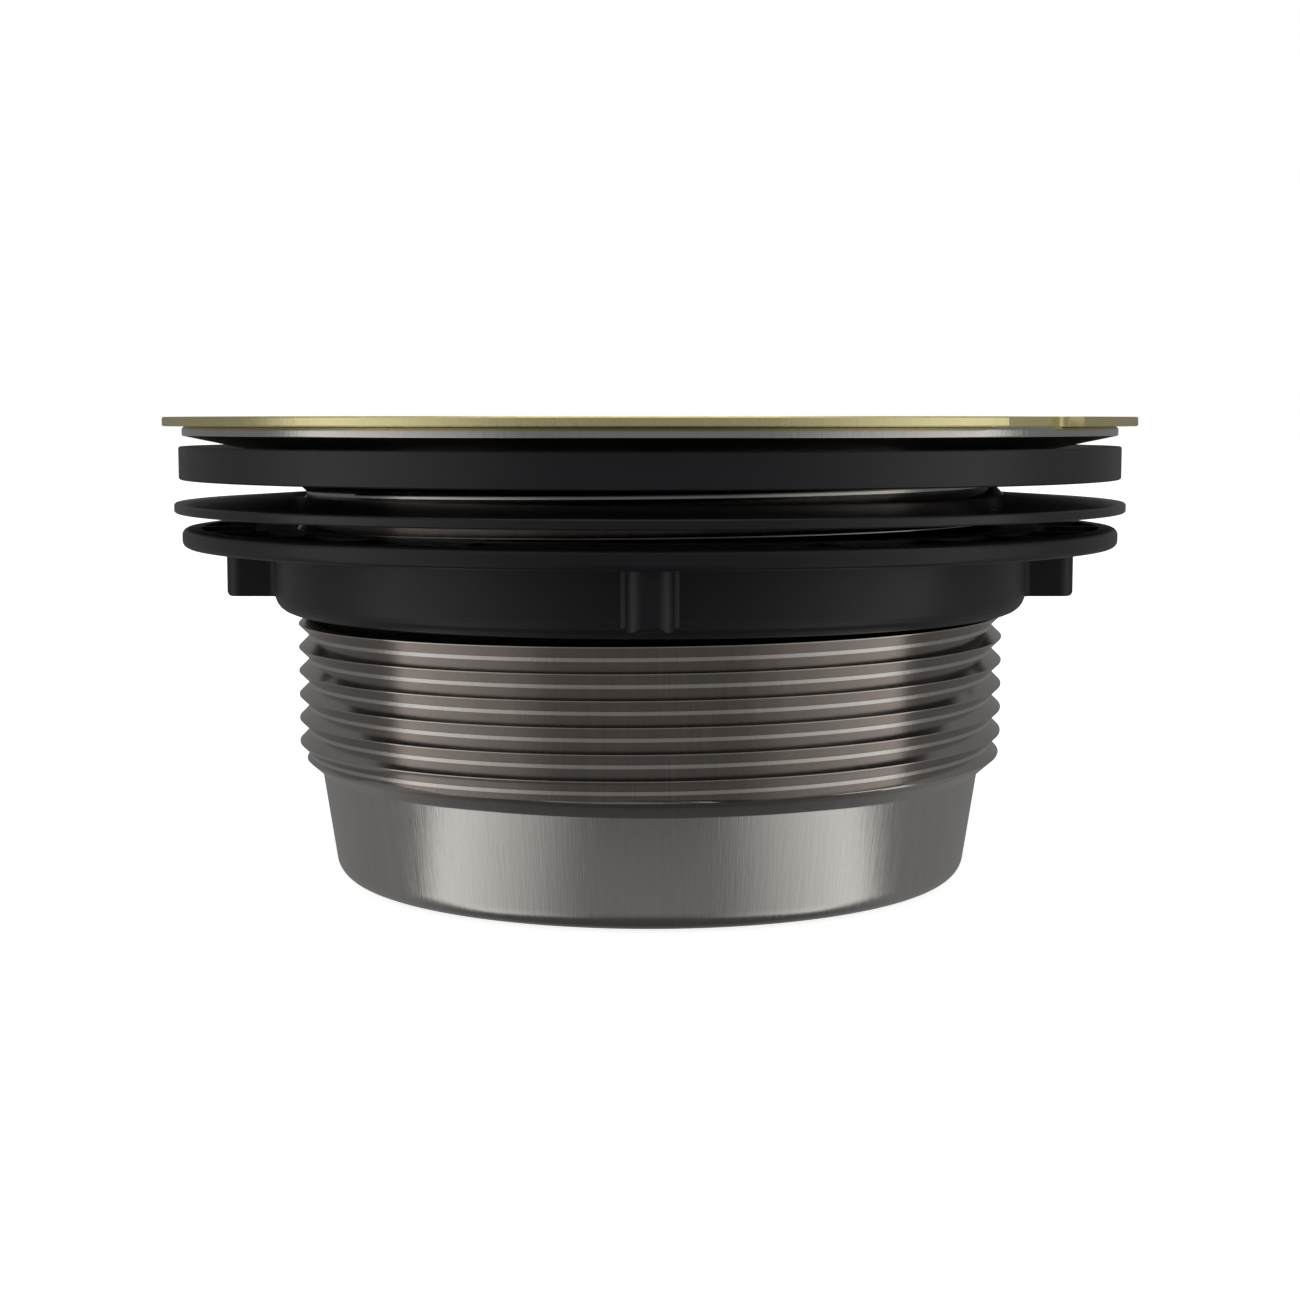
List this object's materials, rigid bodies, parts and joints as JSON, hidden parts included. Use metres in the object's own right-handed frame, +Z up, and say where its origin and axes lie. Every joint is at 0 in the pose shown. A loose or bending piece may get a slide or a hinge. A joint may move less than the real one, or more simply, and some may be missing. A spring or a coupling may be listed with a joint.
{
  "type": "kitchen sink drain flange assembly",
  "caption": "Garbage disposal sink drain: threaded stainless flange with gasket, friction washer, lugged locknut, basket strainer with stopper, and round gold cover.",
  "frame": {"origin": "centre of the bottom rim, at the bottom of the bounding box", "axes": "+Z up along the drain's axis from the outlet to the cover, -Y towards the viewer of the picture, +X to the right"},
  "size_m": [0.1188, 0.1188, 0.0565],
  "materials": {
    "brushed_stainless": "brushed round the axis, satin",
    "stainless_fitting": "turned, satin",
    "champagne_gold": "brushed champagne gold coating",
    "black_rubber": "matte",
    "satin_black_plastic": "satin",
    "matte_black_plastic": "moulded, satin",
    "silicone": "translucent white, matte"
  },
  "bodies": {
    "flange": {"sink_flange": "brushed_stainless"},
    "gasket": {"rubber_gasket": "black_rubber"},
    "washer": {"friction_washer": "satin_black_plastic"},
    "nut": {"locknut": "matte_black_plastic"},
    "guard": {"splash_guard": "black_rubber"},
    "basket": {"strainer_basket": "brushed_stainless", "guide_bush": "stainless_fitting", "bush_nut": "stainless_fitting", "post_o_ring": "black_rubber"},
    "stopper": {"stopper_post": "stainless_fitting", "post_clip": "stainless_fitting", "stopper_knob": "stainless_fitting", "knob_screw": "stainless_fitting", "seal_plate": "brushed_stainless", "stopper_seal": "black_rubber", "post_washer": "stainless_fitting", "post_nut": "stainless_fitting"},
    "cover": {"drain_cover": "champagne_gold", "locating_ring": "champagne_gold", "cover_pads": "silicone"}
  },
  "joints": [
    {"name": "gasket_slide", "type": "slide", "parent": "flange", "child": "gasket", "axis": [0, 0, 1], "range_m": [-0.0018, 0.0012]},
    {"name": "washer_slide", "type": "slide", "parent": "flange", "child": "washer", "axis": [0, 0, 1], "range_m": [-0.0175, 0.0018]},
    {"name": "locknut_turn", "type": "hinge", "parent": "washer", "child": "nut", "pos_m": [0, 0, 0.0381], "axis": [0, 0, 1], "range_deg": [-2160, 216]},
    {"name": "guard_lift", "type": "slide", "parent": "flange", "child": "guard", "axis": [0, 0, 1], "range_m": [0, 0.06]},
    {"name": "basket_lift", "type": "slide", "parent": "guard", "child": "basket", "axis": [0, 0, 1], "range_m": [0, 0.05]},
    {"name": "stopper_lift", "type": "slide", "parent": "basket", "child": "stopper", "axis": [0, 0, 1], "range_m": [0, 0.0075]},
    {"name": "cover_lift", "type": "slide", "parent": "basket", "child": "cover", "axis": [0, 0, 1], "range_m": [0, 0.04]}
  ],
  "couplings": [
    {"joint": "washer_slide", "follows": "locknut_turn", "m_per_rad": 0.00046155}
  ]
}
